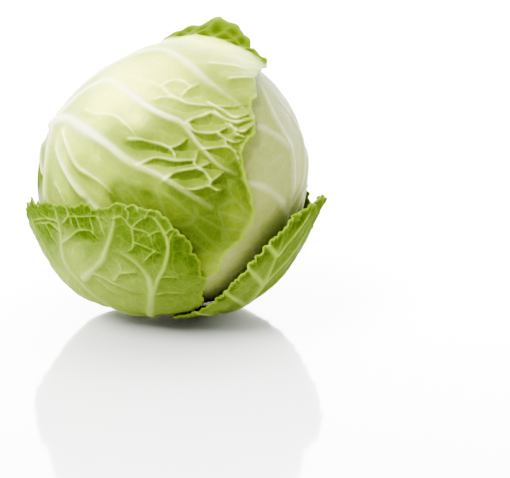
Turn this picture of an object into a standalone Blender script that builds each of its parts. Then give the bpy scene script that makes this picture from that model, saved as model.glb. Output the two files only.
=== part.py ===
"""A white cabbage head, standing on its cut stem.

A dense heart sits on a short stem. Three wrapper leaves lie tight on the heart, one over the
other, and four loose outer leaves cup the lower half. Every leaf grows from the stem.
The origin is the middle of the stem's cut face, +Z is up and the head's front faces -Y.
"""

import math

import bmesh
import bpy
import numpy as np
from mathutils import Vector
from mathutils.bvhtree import BVHTree

# Driving dimensions, in metres
HEART_HALF_WIDTH = 0.0804
HEART_HALF_HEIGHT = 0.0829
MIDDLE_HEIGHT = 0.0855
FLAT_DROP = 0.0735
FLAT_SHARPNESS = 12
STEM_RADIUS = 0.0160
STEM_BEVEL = 0.0008
CLEARANCE = 0.0003
MIDDLE = np.array([0.0, 0.0, MIDDLE_HEIGHT])

# Flat sides and swellings of the head: azimuth, latitude and spread in degrees, change in mm
SWELLINGS = [
    (158, 51, 27, -8.6),
    (10, 31, 24, 1.6),
    (-161, -49, 15, 4.4),
]

# Where leaves leave the stem, in degrees of latitude seen from the head's middle
BASE_LATITUDE = -77.0

# Ribs, in metres: a rib is sunk this deep in its blade and stands up by a share of its half width
RIB_SINK = 0.0006
RIB_RISE = 0.55
RIB_TOP = 0.45
RIB_TIP = 0.40
RIB_STEP = 0.009
RIB_CLEAR_OF_MARGIN = 1.04
RIB_INSIDE_MARGIN = 0.93

# Low blisters between the veins, and waves along the free margins
PUCKER_HEIGHT = 0.0007
PUCKER_TURNS = 21.0
WAVE_COUNTS = (9, 14, 19, 24)
WAVE_SHARE = 0.12
NICK_SHARE = 0.018
SPAN_STEPS = 12
MM = 0.001

COLOURS = {
    "heart": (0.86, 0.88, 0.66, 1.0),
    "stem": (0.90, 0.90, 0.76, 1.0),
    "wrapper": (0.74, 0.82, 0.45, 1.0),
    "pale_wrapper": (0.85, 0.88, 0.68, 1.0),
    "outer": (0.46, 0.63, 0.16, 1.0),
}


def direction(azimuth, latitude):
    """Unit vectors from the head's middle, for angles in degrees. Azimuth -90 is the front."""
    a, b = np.radians(azimuth), np.radians(latitude)
    return np.stack([np.cos(b) * np.cos(a), np.cos(b) * np.sin(a), np.sin(b)], axis=-1)


def heart_radius(n):
    """Distance from the head's middle to the heart's skin: an ellipsoid, flattened below."""
    level = np.hypot(n[..., 0], n[..., 1])
    egg = 1 / np.sqrt((level / HEART_HALF_WIDTH) ** 2 + (n[..., 2] / HEART_HALF_HEIGHT) ** 2)
    for azimuth, latitude, spread, change in SWELLINGS:
        turn = np.degrees(np.arccos(np.clip(n @ direction(azimuth, latitude), -1, 1)))
        egg = egg + change * MM * np.exp(-0.5 * (turn / spread) ** 2)
    flat = FLAT_DROP / np.maximum(-n[..., 2], 1e-6)
    return (egg**-FLAT_SHARPNESS + flat**-FLAT_SHARPNESS) ** (-1 / FLAT_SHARPNESS)


def smooth_path(points, closed=False):
    """A Catmull-Rom curve through points, with SPAN_STEPS steps in each span."""
    p = np.asarray(points, float)
    if closed:
        p = np.vstack([p[-1], p, p[0], p[1]])
    else:
        p = np.vstack([2 * p[0] - p[1], p, 2 * p[-1] - p[-2]])
    t = np.linspace(0, 1, SPAN_STEPS, endpoint=False)[:, None]
    spans = [
        0.5 * (2 * b + (c - a) * t + (2 * a - 5 * b + 4 * c - d) * t**2 + (3 * b - a - 3 * c + d) * t**3)
        for a, b, c, d in zip(p, p[1:], p[2:], p[3:])
    ]
    return np.vstack(spans + ([] if closed else [p[-2:-1]]))


class Leaf:
    """A leaf laid over the head.

    The blade is drawn flat round its middle, as on a map whose distances from the middle are
    true, and then wrapped on the heart. margin holds places round the edge as (azimuth, latitude,
    lift off the head in mm), and ribs hold (half width in mm, route as azimuths and latitudes).
    """

    def __init__(self, name, colour, middle, stalk, layer, blade, cells, lift_from, pucker, margin, ribs):
        self.name, self.colour, self.cells = name, colour, cells
        self.layer, self.blade = layer * MM, blade * MM
        self.lift_from, self.pucker, self.ribs = lift_from, pucker, ribs
        self.middle = direction(*middle)
        towards_stalk = direction(stalk, BASE_LATITUDE)
        away = self.middle * (self.middle @ towards_stalk) - towards_stalk
        self.up = away / np.linalg.norm(away)
        self.side = np.cross(self.up, self.middle)
        self.phases = np.random.default_rng(len(name)).uniform(0, 2 * math.pi, len(WAVE_COUNTS))
        az, lat, lift = np.array(margin, float).T
        x, y = self.to_map(direction(az, lat))
        edge = smooth_path(np.stack([x, y, lift * MM], axis=1), closed=True)
        self.edge_angle = np.arctan2(edge[:, 1], edge[:, 0])
        self.edge_reach = np.hypot(edge[:, 0], edge[:, 1])
        self.edge_lift = edge[:, 2]

    def to_map(self, n):
        turn = np.arccos(np.clip(n @ self.middle, -1, 1))
        x, y = n @ self.side, n @ self.up
        length = np.maximum(np.hypot(x, y), 1e-9)
        return turn * x / length, turn * y / length

    def from_map(self, x, y):
        turn = np.maximum(np.hypot(x, y), 1e-9)
        out = np.outer(np.cos(turn), self.middle)
        out += np.outer(x / turn * np.sin(turn), self.side)
        return out + np.outer(y / turn * np.sin(turn), self.up)

    def waves(self, angle):
        """Waves along the margin, from about -1 to 1."""
        rows = [np.sin(k * angle + p) for k, p in zip(WAVE_COUNTS, self.phases)]
        return sum(rows) / 2

    def reach(self, angle):
        """How far the margin is from the leaf's middle, in radians."""
        even = np.interp(angle, self.edge_angle, self.edge_reach, period=2 * math.pi)
        return even * (1 + NICK_SHARE * self.waves(angle + 1))

    def height(self, share, angle, n):
        """Height of the blade's outer face over the heart's skin. share is 1 at the margin."""
        lift = np.interp(angle, self.edge_angle, self.edge_lift, period=2 * math.pi)
        t = np.clip((share - self.lift_from) / (1 - self.lift_from), 0, 1)
        blister = np.prod(np.sin(PUCKER_TURNS * n + 1), axis=-1) + 0.5
        puff = self.pucker * PUCKER_HEIGHT * np.clip(blister, 0, 1) * np.clip(4 * (1 - share), 0, 1)
        return self.layer + self.blade + puff + lift * (t**2 + WAVE_SHARE * self.waves(angle) * t**3)

    def height_at(self, n):
        x, y = self.to_map(n)
        angle = np.arctan2(y, x)
        return self.height(np.hypot(x, y) / self.reach(angle), angle, n)

    def covers(self, n, share):
        x, y = self.to_map(n)
        return np.hypot(x, y) < share * self.reach(np.arctan2(y, x))


def map_square_to_disc(a, b):
    """A square's points spread over a disc with little change of area: share of radius, angle."""
    wide = np.abs(a) > np.abs(b)
    r = np.where(wide, a, b)
    safe = np.where(r == 0, 1.0, r)
    quarter = math.pi / 4
    angle = np.where(wide, quarter * b / safe, 2 * quarter - quarter * a / safe)
    return np.abs(r), np.where(r < 0, angle + math.pi, angle)


def vertices_of(mesh):
    co = np.empty(len(mesh.vertices) * 3, np.float32)
    mesh.vertices.foreach_get("co", co)
    return co.reshape(-1, 3).astype(float)


def set_vertices(mesh, points):
    mesh.vertices.foreach_set("co", np.asarray(points, np.float32).ravel())
    mesh.update()


def material(name):
    found = bpy.data.materials.get(name)
    if found:
        return found
    made = bpy.data.materials.new(name)
    made.use_nodes = True
    shader = made.node_tree.nodes["Principled BSDF"]
    shader.inputs["Base Color"].default_value = COLOURS[name]
    shader.inputs["Roughness"].default_value = 0.45
    shader.inputs["Metallic"].default_value = 0.0
    return made


def name_and_colour(obj, name, colour):
    obj.name = obj.data.name = name
    obj.data.materials.clear()
    obj.data.materials.append(material(colour))
    return obj


def apply_modifiers(obj):
    """Gives obj its evaluated mesh and removes its modifiers."""
    evaluated = obj.evaluated_get(bpy.context.evaluated_depsgraph_get())
    mesh = bpy.data.meshes.new_from_object(evaluated)
    obj.modifiers.clear()
    obj.data = mesh


def move_to(obj, collection):
    for owner in list(obj.users_collection):
        owner.objects.unlink(obj)
    collection.objects.link(obj)


def make_heart():
    bpy.ops.mesh.primitive_uv_sphere_add(segments=24, ring_count=16, radius=1)
    heart = bpy.context.object
    n = vertices_of(heart.data)
    n /= np.linalg.norm(n, axis=1, keepdims=True)
    set_vertices(heart.data, MIDDLE + n * heart_radius(n)[:, None])
    heart.data.shade_smooth()
    return name_and_colour(heart, "heart", "heart")


def make_stem():
    """The stump, from the cut face at the origin up to just below the heart."""
    below = heart_radius(np.array([0.0, 0.0, -1.0]))
    length = MIDDLE_HEIGHT - float(below) - CLEARANCE
    bpy.ops.mesh.primitive_cylinder_add(
        vertices=24, radius=STEM_RADIUS, depth=length, location=(0, 0, length / 2)
    )
    stem = bpy.context.object
    bevel = stem.modifiers.new("cut edge", "BEVEL")
    bevel.width = STEM_BEVEL
    bevel.segments = 1
    bevel.limit_method = "ANGLE"
    return name_and_colour(stem, "stem", "stem")


def make_blade(leaf):
    """The leaf's sheet, split into triangles so that both faces are split alike."""
    bpy.ops.mesh.primitive_grid_add(x_subdivisions=leaf.cells, y_subdivisions=leaf.cells, size=2)
    obj = bpy.context.object
    flat = vertices_of(obj.data)
    share, angle = map_square_to_disc(flat[:, 0], flat[:, 1])
    reach = share * leaf.reach(angle)
    n = leaf.from_map(reach * np.cos(angle), reach * np.sin(angle))
    far = heart_radius(n) + leaf.height(share, angle, n)
    set_vertices(obj.data, MIDDLE + n * far[:, None])
    sheet = bmesh.new()
    sheet.from_mesh(obj.data)
    bmesh.ops.triangulate(sheet, faces=sheet.faces[:])
    sheet.to_mesh(obj.data)
    sheet.free()
    solid = obj.modifiers.new("blade", "SOLIDIFY")
    solid.thickness = leaf.blade
    solid.offset = -1
    apply_modifiers(obj)
    return name_and_colour(obj, leaf.name, leaf.colour)


def rib_route(route, leaf, leaves_above):
    """Directions along a rib in even steps, ended at the margin or under a leaf above."""
    az, lat = np.array(route, float).T
    n = smooth_path(direction(az, lat))
    n /= np.linalg.norm(n, axis=1, keepdims=True)
    clear = leaf.covers(n, RIB_INSIDE_MARGIN)
    for other in leaves_above:
        clear &= ~other.covers(n, RIB_CLEAR_OF_MARGIN)
    if not clear.any():
        return n[:0]
    first = int(np.argmax(clear))
    last = first + int(np.argmin(np.append(clear[first:], False)))
    n = n[first:last]
    along = np.append(0, np.cumsum(np.linalg.norm(np.diff(n, axis=0), axis=1))) * HEART_HALF_WIDTH
    stops = np.linspace(0, along[-1], 1 + int(along[-1] / RIB_STEP))
    n = np.stack([np.interp(stops, along, n[:, k]) for k in range(3)], axis=1)
    return n / np.linalg.norm(n, axis=1, keepdims=True)


def outer_face(tree, n):
    """How far the blade's outer face is from the head's middle, along each direction."""
    far = []
    for way in n:
        hit = tree.ray_cast(Vector(MIDDLE + 2 * FLAT_DROP * way), Vector(-way))[0]
        far.append(np.linalg.norm(np.array(hit) - MIDDLE) if hit else np.nan)
    far = np.array(far)
    return np.where(np.isnan(far), np.nanmean(far), far)


def make_rib(tree, half_width, n, name):
    """A bar bent along n, broad where it is sunk in the blade and narrow on top."""
    steps = len(n) - 1
    bpy.ops.mesh.primitive_grid_add(x_subdivisions=steps, y_subdivisions=1, size=2)
    bar = bpy.context.object
    bar.name = bar.data.name = name
    solid = bar.modifiers.new("bar", "SOLIDIFY")
    solid.thickness = 1
    solid.offset = -1
    apply_modifiers(bar)
    flat = vertices_of(bar.data)
    place = np.clip(np.rint((flat[:, 0] + 1) / 2 * steps), 0, steps).astype(int)
    top = flat[:, 2] > -0.5
    ahead = np.gradient(n, axis=0)[place]
    across = np.cross(n[place], ahead)
    across /= np.linalg.norm(across, axis=1, keepdims=True)
    half = half_width * (1 - (1 - RIB_TIP) * place / steps)
    sideways = np.sign(flat[:, 1]) * half * np.where(top, RIB_TOP, 1) / HEART_HALF_WIDTH
    out = n[place] + across * sideways[:, None]
    out /= np.linalg.norm(out, axis=1, keepdims=True)
    height = np.where(top, RIB_RISE * half, -RIB_SINK)
    set_vertices(bar.data, MIDDLE + out * (outer_face(tree, out) + height)[:, None])
    skin = bmesh.new()
    skin.from_mesh(bar.data)
    bmesh.ops.recalc_face_normals(skin, faces=skin.faces[:])
    bmesh.ops.triangulate(skin, faces=skin.faces[:])
    skin.to_mesh(bar.data)
    skin.free()
    return bar


def make_leaf(leaf, leaves_above):
    """A blade with its ribs joined to it in one solid."""
    obj = make_blade(leaf)
    tree = BVHTree.FromObject(obj, bpy.context.evaluated_depsgraph_get())
    ribs = bpy.data.collections.new(f"{leaf.name} ribs")
    bpy.context.scene.collection.children.link(ribs)
    for number, (half_width, route) in enumerate(leaf.ribs):
        n = rib_route(route, leaf, leaves_above)
        if len(n) > 2:
            move_to(make_rib(tree, half_width * MM, n, f"{leaf.name} rib {number}"), ribs)
    if ribs.objects:
        union = obj.modifiers.new("ribs", "BOOLEAN")
        union.operation = "UNION"
        union.operand_type = "COLLECTION"
        union.collection = ribs
        union.solver = "EXACT"
        apply_modifiers(obj)
    for rib in list(ribs.objects):
        bpy.data.objects.remove(rib)
    bpy.data.collections.remove(ribs)
    obj.data.materials.clear()
    obj.data.materials.append(material(leaf.colour))
    obj.data.shade_smooth()
    return obj


def pinnate(trunk, pairs, half_width, spread, length):
    """A midrib up azimuth trunk from one latitude to another, and pairs of side ribs that curve
    away from it towards the tip. spread and length are in degrees."""
    azimuth, low, high = trunk
    ribs = [(half_width, [(azimuth, lat) for lat in np.linspace(low, high, 5)])]
    for i in range(pairs):
        start = low + (high - low) * (i + 0.6) / (pairs + 0.4)
        for side in (-1, 1):
            turn = side * spread / math.cos(math.radians(start))
            route = [
                (azimuth + turn * f, start + length * f * (0.6 + 0.4 * f))
                for f in (0.0, 0.35, 0.7, 1.0)
            ]
            ribs.append((half_width * 0.6, route))
    return ribs


def leaves():
    """Every leaf, with the leaves that press on it from above."""
    left = Leaf(
        "wrapper_leaf_left", "wrapper", middle=(-137, 28), stalk=-165, layer=4.4, blade=1.0, cells=22,
        lift_from=0.78, pucker=1.0,
        margin=[
            (12, 53, 6.8), (-2, 51, 2), (-29, 47, 1.5), (-40, 40, 1.5), (-44, 34, 1.5), (-49, 29, 1.5),
            (-56, 22, 2.5), (-58, 14, 2), (-54, 3, 1.5), (-58, -12, 1), (-68, -27, 0.5), (-84, -42, 0),
            (-105, -56, 0), (-135, -69, 0), (-165, -76, 0), (170, -76, 0), (150, -68, 0), (141, -50, 0),
            (136, -25, 0), (131, 0, 1), (126, 22, 2), (118, 45, 3), (105, 60, 3.5), (92, 64, 8.5),
            (84, 65, 10.5), (76, 66, 13), (67, 65, 12), (57, 63, 17), (50, 62, 19), (43, 59, 19.5),
            (35, 57, 13), (25, 55, 6.5),
        ],
        ribs=[
            (3.6, [(-165, -72), (-157, -50), (-152, -22), (-150, -3), (-152, 13), (-158, 26), (-163, 42),
                   (-158, 58), (-140, 71), (-101, 75), (-76, 66), (-65, 53), (-57, 46), (-46, 33)]),
            (3.2, [(-158, 33), (-151, 46), (-134, 53), (-113, 47), (-97, 40), (-84, 34), (-74, 24),
                   (-61, 13)]),
            (3.4, [(-163, 27), (-150, 32), (-136, 31), (-117, 26), (-104, 19), (-90, 13), (-72, 1)]),
            (2.8, [(-108, -12), (-119, 0), (-129, 8), (-144, 18), (-150, 24)]),
            (1.6, [(-145, 27), (-132, 17), (-115, 7), (-104, -2)]),
            (2.2, [(-158, 26), (-178, 36), (165, 36), (148, 30), (136, 20)]),
            (2.2, [(-162, 36), (-175, 52), (160, 58), (135, 54), (112, 44)]),
            (2.0, [(-154, 8), (-170, 16), (170, 14), (152, 4), (142, -8)]),
            (1.3, [(-101, 53), (-87, 47), (-73, 42), (-61, 40), (-51, 39)]),
            (1.2, [(-93, 52), (-85, 53), (-76, 51), (-65, 52)]),
            (1.3, [(-81, 35), (-73, 38), (-64, 37), (-54, 33)]),
            (1.2, [(-68, 37), (-61, 32), (-54, 30)]),
            (1.2, [(-78, 32), (-67, 31), (-62, 31), (-55, 26)]),
            (1.2, [(-73, 24), (-65, 25), (-57, 25)]),
            (1.3, [(-109, 30), (-98, 28), (-87, 24), (-80, 29)]),
            (1.2, [(-101, 18), (-92, 21), (-82, 19), (-76, 24)]),
            (1.2, [(-89, 13), (-85, 16), (-78, 16), (-69, 18)]),
            (1.2, [(-88, 12), (-79, 9), (-73, 11), (-67, 16)]),
        ],
    )
    right = Leaf(
        "wrapper_leaf_right", "pale_wrapper", middle=(-22, 5), stalk=-28, layer=2.8, blade=0.9, cells=16,
        lift_from=0.8, pucker=0.25,
        margin=[
            (0, 78, 0), (45, 66, 1.5), (62, 45, 2.5), (68, 22, 2.5), (68, -5, 2), (64, -32, 1), (50, -56, 0),
            (20, -71, 0), (-15, -76, 0), (-45, -76, 0), (-75, -68, 0), (-96, -50, 0), (-104, -25, 0),
            (-102, 0, 0), (-96, 25, 0), (-80, 50, 0), (-50, 70, 0),
        ],
        ribs=[
            (3.2, [(-28, -70), (-29, -40), (-31, -10), (-32, 10), (-31, 24), (-28, 39), (-20, 52), (-5, 62)]),
            (2.2, [(-32, 12), (-37, 24), (-49, 32), (-60, 38)]),
            (2.2, [(-31, -8), (-44, 4), (-58, 10), (-72, 14)]),
            (2.0, [(-31, 6), (-12, 24), (8, 34), (28, 40)]),
            (2.0, [(-30, -18), (-6, 4), (20, 14), (42, 18)]),
        ],
    )
    back = Leaf(
        "wrapper_leaf_back", "pale_wrapper", middle=(98, 5), stalk=98, layer=1.1, blade=0.9, cells=14,
        lift_from=0.8, pucker=0.25,
        margin=[
            (98, 80, 0), (40, 72, 0), (26, 45, 0), (22, 10, 0), (26, -25, 0), (40, -55, 0), (75, -74, 0),
            (98, -77, 0), (121, -74, 0), (156, -55, 0), (172, -25, 0), (175, 10, 0), (170, 45, 0),
            (150, 72, 0),
        ],
        ribs=pinnate((98, -70, 66), 4, 3.0, 34, 26),
    )
    outer_front = Leaf(
        "outer_leaf_front", "outer", middle=(-128, -33), stalk=-122, layer=8.3, blade=1.1, cells=18,
        lift_from=0.25, pucker=1.0,
        margin=[
            (-176, -15, 6.5), (-174, -10, 4.5), (-171, -7, 3), (-163, -5, 2.5), (-157, -6, 2.5),
            (-152, -7.5, 3), (-146, -5, 3.5), (-139, 0, 3.5), (-132, -0.5, 3), (-121, 2, 2.5),
            (-112, 1, 2.5), (-107, 4, 3), (-98, 2, 3), (-90, 0.3, 3), (-85, -6, 3.5), (-79, -16, 2.5),
            (-74, -28, 1), (-73, -42, 0.2), (-76, -57, 0), (-90, -70, 0), (-122, -76, 0), (-145, -73, 0),
            (-152, -62, 0), (-157, -50, 0.2), (-168, -37, 1), (-175, -22, 4),
        ],
        ribs=[
            (3.4, [(-106, -68), (-102, -54), (-98, -38), (-98, -27), (-103, -18), (-113, -16)]),
            (2.2, [(-99, -38), (-94, -26), (-89, -15), (-91, -6), (-95, 1)]),
            (2.4, [(-133, -36), (-123, -25), (-116, -18), (-111, -9), (-109, 3)]),
            (2.4, [(-116, -66), (-127, -57), (-134, -44), (-138, -30), (-138, -18), (-136, -8), (-142, -1)]),
            (1.6, [(-101, -40), (-110, -35), (-123, -28)]),
            (1.1, [(-138, -16), (-131, -14), (-124, -9), (-115, -13)]),
            (1.1, [(-129, -4), (-121, -3), (-111, -4)]),
            (1.1, [(-110, -2), (-103, -5), (-102, -11), (-107, -16)]),
            (1.1, [(-102, -5), (-96, -8), (-95, -13), (-90, -15)]),
            (1.0, [(-115, -31), (-110, -26), (-102, -24)]),
        ],
    )
    outer_back = Leaf(
        "outer_leaf_back", "outer", middle=(66, -36), stalk=62, layer=8.3, blade=1.1, cells=13,
        lift_from=0.3, pucker=1.0,
        margin=[
            (64, 2, 5), (38, -2, 5), (18, -11, 2.5), (7, -26, 0.6), (3, -42, 0.2), (9, -58, 0), (30, -70, 0),
            (62, -76, 0), (88, -72, 0), (108, -60, 0.5), (120, -42, 1.5), (120, -26, 3), (108, -12, 4),
            (88, -2, 5),
        ],
        ribs=pinnate((62, -72, -4), 3, 3.2, 22, 26),
    )
    outer_left = Leaf(
        "outer_leaf_left", "outer", middle=(160, -38), stalk=165, layer=6.7, blade=1.1, cells=12,
        lift_from=0.3, pucker=1.0,
        margin=[
            (152, -3, 5), (134, -7, 4), (119, -18, 1.2), (110, -33, 0.4), (112, -50, 0.2), (125, -65, 0),
            (145, -74, 0), (165, -76, 0), (-174, -73, 0), (-155, -66, 0), (-145, -52, 0), (-156, -36, 0.2),
            (-173, -24, 1), (170, -13, 3),
        ],
        ribs=pinnate((160, -72, -8), 3, 3.0, 18, 24),
    )
    outer_right = Leaf(
        "outer_leaf_right", "outer", middle=(-38, -40), stalk=-45, layer=10.0, blade=1.1, cells=13,
        lift_from=0.3, pucker=1.0,
        margin=[
            (-28, -4, 4.5), (-44, -10, 4), (-56, -22, 3.5), (-66, -37, 2.5), (-76, -49, 1.5), (-86, -55, 0.8),
            (-89, -62, 0.3), (-80, -71, 0), (-60, -76, 0), (-35, -76, 0), (-10, -71, 0), (8, -59, 0.5),
            (16, -44, 1.2), (16, -28, 2.5), (8, -14, 3.5), (-10, -5, 4.5),
        ],
        ribs=pinnate((-42, -72, -10), 3, 3.2, 20, 24),
    )
    return [
        (back, [right, left, outer_back, outer_left]),
        (right, [left, outer_front, outer_right, outer_back]),
        (left, [outer_front, outer_left, outer_right, outer_back]),
        (outer_front, [outer_right]),
        (outer_back, [outer_right]),
        (outer_left, [outer_front, outer_back]),
        (outer_right, []),
    ]


def main():
    for obj in list(bpy.data.objects):
        bpy.data.objects.remove(obj)
    head = bpy.data.collections.new("cabbage_head")
    bpy.context.scene.collection.children.link(head)
    move_to(make_heart(), head)
    move_to(make_stem(), head)
    for leaf, leaves_above in leaves():
        move_to(make_leaf(leaf, leaves_above), head)


main()
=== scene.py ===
import math

import bpy
import numpy as np
from bpy.props import FloatProperty, FloatVectorProperty, IntProperty, PointerProperty
from bpy.types import Operator, Panel, PropertyGroup
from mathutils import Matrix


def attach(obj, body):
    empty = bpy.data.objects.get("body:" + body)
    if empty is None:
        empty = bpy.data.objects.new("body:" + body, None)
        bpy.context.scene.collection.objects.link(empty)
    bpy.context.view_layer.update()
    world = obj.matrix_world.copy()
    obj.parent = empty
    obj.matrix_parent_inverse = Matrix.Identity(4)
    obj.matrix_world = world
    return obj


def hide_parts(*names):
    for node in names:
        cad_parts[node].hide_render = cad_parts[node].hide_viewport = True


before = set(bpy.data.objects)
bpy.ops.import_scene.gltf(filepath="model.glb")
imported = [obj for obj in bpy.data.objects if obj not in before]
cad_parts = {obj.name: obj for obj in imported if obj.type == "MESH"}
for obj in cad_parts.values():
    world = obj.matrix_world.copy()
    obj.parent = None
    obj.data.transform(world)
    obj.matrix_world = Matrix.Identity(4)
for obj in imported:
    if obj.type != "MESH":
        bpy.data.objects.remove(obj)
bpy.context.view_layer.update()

bl_info = {
    "name": "Cabbage Head",
    "version": (1, 0, 0),
    "blender": (4, 5, 0),
    "location": "View3D > Sidebar > Cabbage",
    "description": "Dresses a white cabbage head with veined, waxy leaves in a small studio",
    "category": "Object",
}

BODY = "root"
MM = 0.001

# The photograph's frame, and where the middle of the head is in it, in pixels
PHOTO_WIDTH = 510
PHOTO_MIDDLE = (255, 239)
HEAD_MIDDLE_IN_PHOTO = (173, 177)

# Where the bright card of the surroundings starts and is full, as parts of a direction
CARD_BEHIND = (0.25, 0.7)
CARD_LOW = (0.35, 0.75)
FLOOR_SIZE = 40

# Where leaves leave the stem, in degrees of latitude seen from the head's middle
BASE_LATITUDE = -77.0

# How sharply the head's underside turns flat
FLAT_SHARPNESS = 12

# Flat sides and swellings of the head: azimuth, latitude and spread in degrees, change in mm
SWELLINGS = [
    (158, 51, 27, -8.6),
    (10, 31, 24, 1.6),
    (-161, -49, 15, 4.4),
]

# The head's broad soft lumps: how many waves make them up, and how close these are
LUMPS = 7
LUMP_CLOSENESS = 4.5
LUMP_SEED = 11

# Waves round a free margin: how many there are, from broad to fine
BROAD_WAVES = (9, 14, 19, 24)
FRILLS = (31, 38, 47, 59, 74)
NICKS = (17, 29, 43, 61, 87)
BROAD_DEPTH = 0.018
BROAD_LIFT = 0.12
MOST_FRILL = 1.6

# How wide the parts of a rib or crease are, as a share of its half width
RIDGE_HALF = 0.75
SKIRT_HALF = 2.6
PALE_HALF = 0.8
FLANK_HALF = 0.7

# How a rib or crease varies, as shares of its width, height or tone
SKIRT_HEIGHT = 0.45
UNEVEN_WIDTH = 0.12
UNEVEN_HEIGHT = 0.1
STEEPER_BELOW = 0.22
LOWER_AT_TIP = 0.8
FAINTER_AT_TIP = 0.4

# Distances on a leaf, in metres
FAR_OFF = 0.1
TIP_FLANK = 5 * MM
NET_STARTS = 3 * MM
NET_FULL = 8 * MM
NET_PALE_HALF = 0.8 * MM
NET_RAISED_HALF = 1.2 * MM
DISH_RIM = 2.7 * MM
DISH_RIM_LESS_BELOW = 0.9 * MM
SHADE_REACH = 4 * MM
SHADE_START = 0.8 * MM
PALE_RIM = 2.5 * MM
FLAT_MARGIN = 3 * MM
GREEN_BAND = 8 * MM
FULL_LIFT = 2.5 * MM
FRILL_LIFT = 3 * MM
TURNED_FROM = 2.8 * MM
TURNED_FULL = 3.9 * MM
CRINKLE_CELL = 6.5 * MM
CRINKLE_HEIGHT = 0.9 * MM

# Shares: how high a hollow's rim stands, how much a blade bulges and how much paler its hollows'
# rims are, and what is left of the relief at the margin
HOLLOW_RIM = 0.6
BULGE = 0.35
PALE_RIM_TONE = 0.08
MARGIN_RELIEF = 0.3

# Leaves nearer the heart than this, in mm, have crinkled margins where these turn up
TIGHT_LAYER = 6
# How much of the margin's lighter green the crinkles' ridges get, a painted highlight
CRINKLE_HIGHLIGHT = 0.45

# Relief of a leaf dies out where another leaf lies on it: shares of that leaf's reach
COVERED = 0.99
OPEN = 1.12


def direction(azimuth, latitude):
    """Unit vectors from the head's middle, for angles in degrees. Azimuth -90 is the front."""
    a, b = np.radians(azimuth), np.radians(latitude)
    return np.stack([np.cos(b) * np.cos(a), np.cos(b) * np.sin(a), np.sin(b)], axis=-1)


def smooth_step(low, high, x):
    t = np.clip((x - low) / (high - low), 0, 1)
    return t * t * (3 - 2 * t)


def smooth_path(points, closed=False, steps=12):
    """A Catmull-Rom curve through points."""
    p = np.asarray(points, float)
    if closed:
        p = np.vstack([p[-1], p, p[0], p[1]])
    else:
        p = np.vstack([2 * p[0] - p[1], p, 2 * p[-1] - p[-2]])
    t = np.linspace(0, 1, steps, endpoint=False)[:, None]
    spans = [
        0.5 * (2 * b + (c - a) * t + (2 * a - 5 * b + 4 * c - d) * t**2 + (3 * b - a - 3 * c + d) * t**3)
        for a, b, c, d in zip(p, p[1:], p[2:], p[3:])
    ]
    return np.vstack(spans + ([] if closed else [p[-2:-1]]))


def wave_sum(counts, phases, angle):
    """Waves round a margin, mostly from -1 to 1."""
    return sum(np.sin(k * angle + p) for k, p in zip(counts, phases)) / 2


def distance_to_path(points, path):
    """Each point's distance to a path, its place along the path from 0 to 1, and how much it is
    under the path, from -1 straight above it to 1 straight below it."""
    nearest = np.full(len(points), np.inf)
    along = np.zeros(len(points))
    under = np.zeros(len(points))
    last = len(path) - 1
    for i in range(last):
        span = path[i + 1] - path[i]
        t = np.clip((points - path[i]) @ span / (span @ span), 0, 1)
        offset = path[i] + t[:, None] * span - points
        away = np.maximum(np.linalg.norm(offset, axis=1), 1e-9)
        closer = away < nearest
        nearest = np.where(closer, away, nearest)
        along = np.where(closer, (i + t) / last, along)
        under = np.where(closer, offset[:, 2] / away, under)
    return nearest, along, under


def crowded(t, centre, amount=2.0, spread=0.5):
    """Moves numbers spread evenly from -1 to 1 closer together round a centre."""
    even = np.linspace(-1, 1, 201)
    density = 1 + amount * np.exp(-(((even - centre) / spread) ** 2))
    total = np.concatenate([[0], np.cumsum((density[1:] + density[:-1]) / 2)])
    return np.interp(t, 2 * total / total[-1] - 1, even)


def distance_to_cell_wall(x, y, size, stretch, turn, rng):
    """Distance to the nearest wall of a net of uneven cells, which are size wide and stretched
    along the direction turn, in radians."""
    u = (x * math.cos(turn) + y * math.sin(turn)) / (size * stretch)
    v = (y * math.cos(turn) - x * math.sin(turn)) / size
    count = 64
    most = 0.42
    jitter = rng.uniform(-most, most, (count, count, 2))
    column, row = np.floor(u).astype(int), np.floor(v).astype(int)
    first = np.full(u.shape, np.inf)
    second = np.full(u.shape, np.inf)
    seed = np.zeros((2,) + u.shape + (2,))
    for i in range(-2, 3):
        for j in range(-2, 3):
            shift = jitter[(column + i) % count, (row + j) % count]
            place = np.stack([column + i + 0.5, row + j + 0.5], axis=-1) + shift
            away = (place[..., 0] - u) ** 2 + (place[..., 1] - v) ** 2
            new_first = away < first
            new_second = ~new_first & (away < second)
            seed[1] = np.where(new_first[..., None], seed[0], np.where(new_second[..., None], place, seed[1]))
            second = np.where(new_first, first, np.where(new_second, away, second))
            seed[0] = np.where(new_first[..., None], place, seed[0])
            first = np.where(new_first, away, first)
    between = np.maximum(np.linalg.norm(seed[0] - seed[1], axis=-1), 1e-6)
    return (second - first) / (2 * between) * size


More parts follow.
